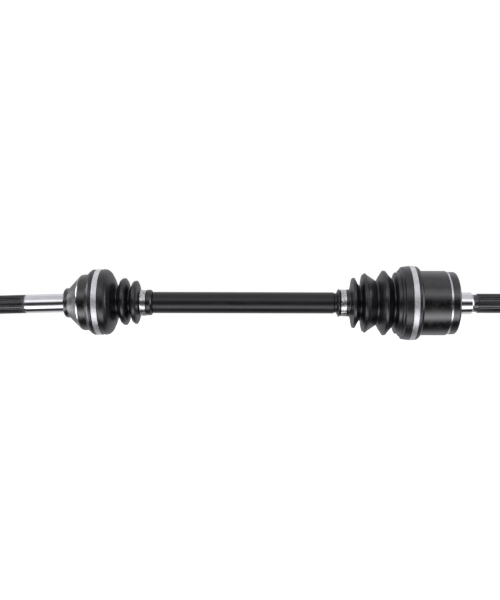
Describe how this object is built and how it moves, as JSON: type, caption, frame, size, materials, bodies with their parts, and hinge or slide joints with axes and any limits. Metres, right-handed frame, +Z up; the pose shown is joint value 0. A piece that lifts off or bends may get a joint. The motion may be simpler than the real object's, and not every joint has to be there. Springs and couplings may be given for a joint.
{
  "type": "cv axle",
  "caption": "Half shaft with a fixed and a plunging ball joint, splined stubs at both ends and clamped rubber bellows boots.",
  "frame": {"origin": "on the bar's axis, halfway along its full-diameter stretch", "axes": "+X along the bar towards the gearbox end, +Z up, the wheel-end stub towards -X"},
  "size_m": [0.6539, 0.0894, 0.0894],
  "materials": {
    "bar": "satin black paint",
    "forging": "black phosphated forging with ground steel journals",
    "bearing_steel": "ground and polished",
    "cage_steel": "machined, hardened",
    "spring_steel": "oiled spring steel",
    "boot_rubber": "moulded, matte",
    "clamp_band": "bright rolled stainless band"
  },
  "bodies": {
    "bar": {"shaft_bar": "bar", "outboard_inner_race": "bearing_steel", "outboard_race_circlip": "spring_steel", "outboard_clamp_small": "clamp_band", "outboard_boot": "boot_rubber", "inboard_inner_race": "bearing_steel", "inboard_race_circlip": "spring_steel", "inboard_clamp_small": "clamp_band"},
    "outboard_ball_rear": {"outboard_ball_1": "bearing_steel"},
    "outboard_cage": {"outboard_cage": "cage_steel", "outboard_ball_2": "bearing_steel", "outboard_ball_3": "bearing_steel", "outboard_ball_5": "bearing_steel", "outboard_ball_6": "bearing_steel"},
    "outboard_ball_front": {"outboard_ball_4": "bearing_steel"},
    "outboard_cup": {"outboard_cup": "forging", "outboard_clamp_large": "clamp_band"},
    "inboard_ball_rear": {"inboard_ball_1": "bearing_steel"},
    "inboard_cage": {"inboard_cage": "cage_steel", "inboard_ball_2": "bearing_steel", "inboard_ball_3": "bearing_steel", "inboard_ball_5": "bearing_steel", "inboard_ball_6": "bearing_steel"},
    "inboard_ball_front": {"inboard_ball_4": "bearing_steel"},
    "inboard_boot": {"inboard_boot": "boot_rubber"},
    "inboard_cup": {"inboard_cup": "forging", "inboard_clamp_large": "clamp_band", "inboard_retaining_ring": "spring_steel", "inboard_stub_circlip": "spring_steel"}
  },
  "joints": [
    {"name": "outboard_yaw", "type": "hinge", "parent": "bar", "child": "outboard_ball_rear", "pos_m": [-0.181, 0, 0], "axis": [0, 0, 1], "range_deg": [-11.5, 11.5], "deforming": ["outboard_boot"]},
    {"name": "outboard_pitch", "type": "hinge", "parent": "outboard_ball_rear", "child": "outboard_cage", "pos_m": [-0.181, 0, 0], "axis": [0, 1, 0], "range_deg": [-10.7, 12.3]},
    {"name": "outboard_cup_pitch", "type": "hinge", "parent": "outboard_cage", "child": "outboard_ball_front", "pos_m": [-0.181, 0, 0], "axis": [0, 1, 0], "range_deg": [-10.7, 12.3]},
    {"name": "outboard_cup_yaw", "type": "hinge", "parent": "outboard_ball_front", "child": "outboard_cup", "pos_m": [-0.181, 0, 0], "axis": [-0.0279, 0, 0.9996], "range_deg": [-11.5, 11.5]},
    {"name": "inboard_yaw", "type": "hinge", "parent": "bar", "child": "inboard_ball_rear", "pos_m": [0.2161, 0, 0], "axis": [0, 0, 1], "range_deg": [-7.5, 7.5], "deforming": ["inboard_boot"]},
    {"name": "inboard_pitch", "type": "hinge", "parent": "inboard_ball_rear", "child": "inboard_cage", "pos_m": [0.2161, 0, 0], "axis": [0, 1, 0], "range_deg": [-7.5, 7.5]},
    {"name": "inboard_cup_pitch", "type": "hinge", "parent": "inboard_cage", "child": "inboard_ball_front", "pos_m": [0.2161, 0, 0], "axis": [0, 1, 0], "range_deg": [-7.5, 7.5]},
    {"name": "inboard_cup_yaw", "type": "hinge", "parent": "inboard_ball_front", "child": "inboard_boot", "pos_m": [0.2161, 0, 0], "axis": [0, 0, 1], "range_deg": [-7.5, 7.5]},
    {"name": "inboard_plunge", "type": "slide", "parent": "inboard_boot", "child": "inboard_cup", "axis": [1, 0, 0], "range_m": [-0.011, 0.011]}
  ],
  "couplings": [
    {"joint": "outboard_cup_pitch", "follows": "outboard_pitch", "ratio": 1},
    {"joint": "outboard_cup_yaw", "follows": "outboard_yaw", "ratio": 1},
    {"joint": "inboard_cup_pitch", "follows": "inboard_pitch", "ratio": 1},
    {"joint": "inboard_cup_yaw", "follows": "inboard_yaw", "ratio": 1}
  ]
}
